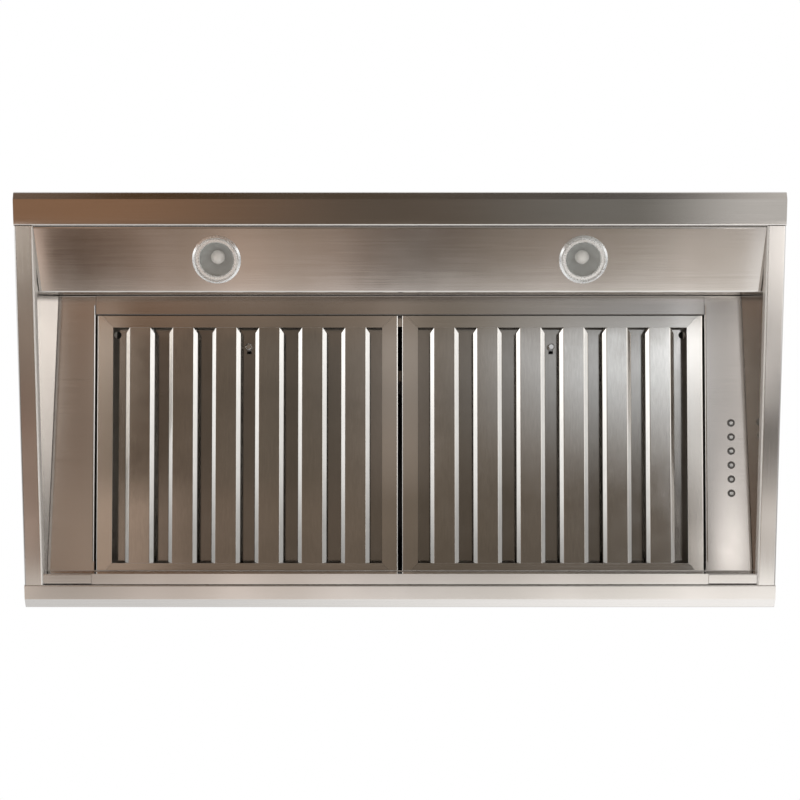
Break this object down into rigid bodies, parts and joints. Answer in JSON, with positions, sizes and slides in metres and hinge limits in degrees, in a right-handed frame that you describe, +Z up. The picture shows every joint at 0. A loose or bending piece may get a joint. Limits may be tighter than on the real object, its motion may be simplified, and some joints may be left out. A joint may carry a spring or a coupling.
{
  "type": "chimney range hood",
  "caption": "Wall-mounted stainless steel chimney range hood with swing-down baffle filters, recessed halogen lamps, a row of push buttons and a telescopic duct cover.",
  "frame": {"origin": "centre of the hood's plan at the underside of its rim", "axes": "+X to the right along the wall as seen from the room, +Y from the room towards the wall, +Z up along the duct"},
  "size_m": [0.914, 0.502, 0.8202],
  "materials": {
    "canopy_steel": "brushed stainless steel",
    "filter_steel": "polished stainless steel",
    "chrome_trim": "bright chrome",
    "galvanised_steel": "galvanised sheet",
    "screw_zinc": "zinc plated",
    "shaft_steel": "ground steel",
    "motor_paint": "satin dark grey",
    "capacitor_case": "gloss off-white",
    "circuit_board": "matte green laminate",
    "box_plastic": "matte dark grey",
    "lamp_glass": "clear",
    "lamp_reflector": "satin bright",
    "lamp_capsule": "frosted"
  },
  "bodies": {
    "canopy": {"front_panel": "canopy_steel", "left_side_panel": "canopy_steel", "right_side_panel": "canopy_steel", "rear_panel": "canopy_steel", "light_panel": "canopy_steel", "front_filter_rail": "canopy_steel", "left_filler_panel": "canopy_steel", "control_panel": "canopy_steel", "trough_sill": "canopy_steel", "grease_trough": "canopy_steel", "trough_apron": "canopy_steel", "left_liner": "canopy_steel", "right_liner": "canopy_steel", "chimney_lower": "canopy_steel", "lamp_trim_left": "chrome_trim", "lamp_can_left": "galvanised_steel", "lamp_glass_left": "lamp_glass", "lamp_reflector_left": "lamp_reflector", "lamp_capsule_left": "lamp_capsule", "lamp_trim_right": "chrome_trim", "lamp_can_right": "galvanised_steel", "lamp_glass_right": "lamp_glass", "lamp_reflector_right": "lamp_reflector", "lamp_capsule_right": "lamp_capsule", "top_deck": "galvanised_steel", "scroll_housing": "galvanised_steel", "inlet_rings": "galvanised_steel", "motor_bracket": "galvanised_steel", "duct_collar": "galvanised_steel", "damper_rod": "galvanised_steel", "junction_box": "galvanised_steel", "canopy_screws": "screw_zinc", "motor": "motor_paint", "capacitor": "capacitor_case", "switch_board": "circuit_board", "control_box": "box_plastic", "button_bezels": "box_plastic"},
    "filter_left": {"filter_frame_left": "filter_steel", "filter_front_baffles_left": "filter_steel", "filter_rear_baffles_left": "filter_steel"},
    "latch_left": {"latch_bar_left": "galvanised_steel", "latch_knob_left": "chrome_trim"},
    "filter_right": {"filter_frame_right": "filter_steel", "filter_front_baffles_right": "filter_steel", "filter_rear_baffles_right": "filter_steel"},
    "latch_right": {"latch_bar_right": "galvanised_steel", "latch_knob_right": "chrome_trim"},
    "button_1": {"button_1": "chrome_trim"},
    "button_2": {"button_2": "chrome_trim"},
    "button_3": {"button_3": "chrome_trim"},
    "button_4": {"button_4": "chrome_trim"},
    "button_5": {"button_5": "chrome_trim"},
    "button_6": {"button_6": "chrome_trim"},
    "fan": {"impeller": "galvanised_steel", "motor_shaft": "shaft_steel"},
    "damper_front": {"damper_flap_front": "galvanised_steel"},
    "damper_rear": {"damper_flap_rear": "galvanised_steel"},
    "chimney_slide": {"chimney_upper": "canopy_steel", "chimney_bracket": "galvanised_steel", "bracket_screws": "screw_zinc"}
  },
  "joints": [
    {"name": "filter_swing_left", "type": "hinge", "parent": "canopy", "child": "filter_left", "pos_m": [-0.188, 0.2094, 0.0173], "axis": [1, 0, 0], "range_deg": [0, 65]},
    {"name": "latch_pull_left", "type": "slide", "parent": "filter_left", "child": "latch_left", "axis": [0, 0.9903, -0.1392], "range_m": [0, 0.006], "stiffness_N_per_m": 300, "springref_m": -0.003},
    {"name": "filter_swing_right", "type": "hinge", "parent": "canopy", "child": "filter_right", "pos_m": [0.188, 0.2094, 0.0173], "axis": [1, 0, 0], "range_deg": [0, 65]},
    {"name": "latch_pull_right", "type": "slide", "parent": "filter_right", "child": "latch_right", "axis": [0, 0.9903, -0.1392], "range_m": [0, 0.006], "stiffness_N_per_m": 300, "springref_m": -0.003},
    {"name": "button_1_press", "type": "slide", "parent": "canopy", "child": "button_1", "axis": [0, 0.1392, 0.9903], "range_m": [0, 0.002], "stiffness_N_per_m": 400, "springref_m": -0.001},
    {"name": "button_2_press", "type": "slide", "parent": "canopy", "child": "button_2", "axis": [0, 0.1392, 0.9903], "range_m": [0, 0.002], "stiffness_N_per_m": 400, "springref_m": -0.001},
    {"name": "button_3_press", "type": "slide", "parent": "canopy", "child": "button_3", "axis": [0, 0.1392, 0.9903], "range_m": [0, 0.002], "stiffness_N_per_m": 400, "springref_m": -0.001},
    {"name": "button_4_press", "type": "slide", "parent": "canopy", "child": "button_4", "axis": [0, 0.1392, 0.9903], "range_m": [0, 0.002], "stiffness_N_per_m": 400, "springref_m": -0.001},
    {"name": "button_5_press", "type": "slide", "parent": "canopy", "child": "button_5", "axis": [0, 0.1392, 0.9903], "range_m": [0, 0.002], "stiffness_N_per_m": 400, "springref_m": -0.001},
    {"name": "button_6_press", "type": "slide", "parent": "canopy", "child": "button_6", "axis": [0, 0.1392, 0.9903], "range_m": [0, 0.002], "stiffness_N_per_m": 400, "springref_m": -0.001},
    {"name": "impeller_spin", "type": "hinge", "parent": "canopy", "child": "fan", "pos_m": [0, 0.1484, 0.17], "axis": [1, 0, 0], "continuous": true},
    {"name": "damper_front_swing", "type": "hinge", "parent": "canopy", "child": "damper_front", "pos_m": [0, 0.11849, 0.3512], "axis": [-1, 0, 0], "range_deg": [0, 75]},
    {"name": "damper_rear_swing", "type": "hinge", "parent": "canopy", "child": "damper_rear", "pos_m": [0, 0.11849, 0.3512], "axis": [1, 0, 0], "range_deg": [0, 75]},
    {"name": "chimney_extend", "type": "slide", "parent": "canopy", "child": "chimney_slide", "axis": [0, 0, 1], "range_m": [0, 0.28]}
  ]
}
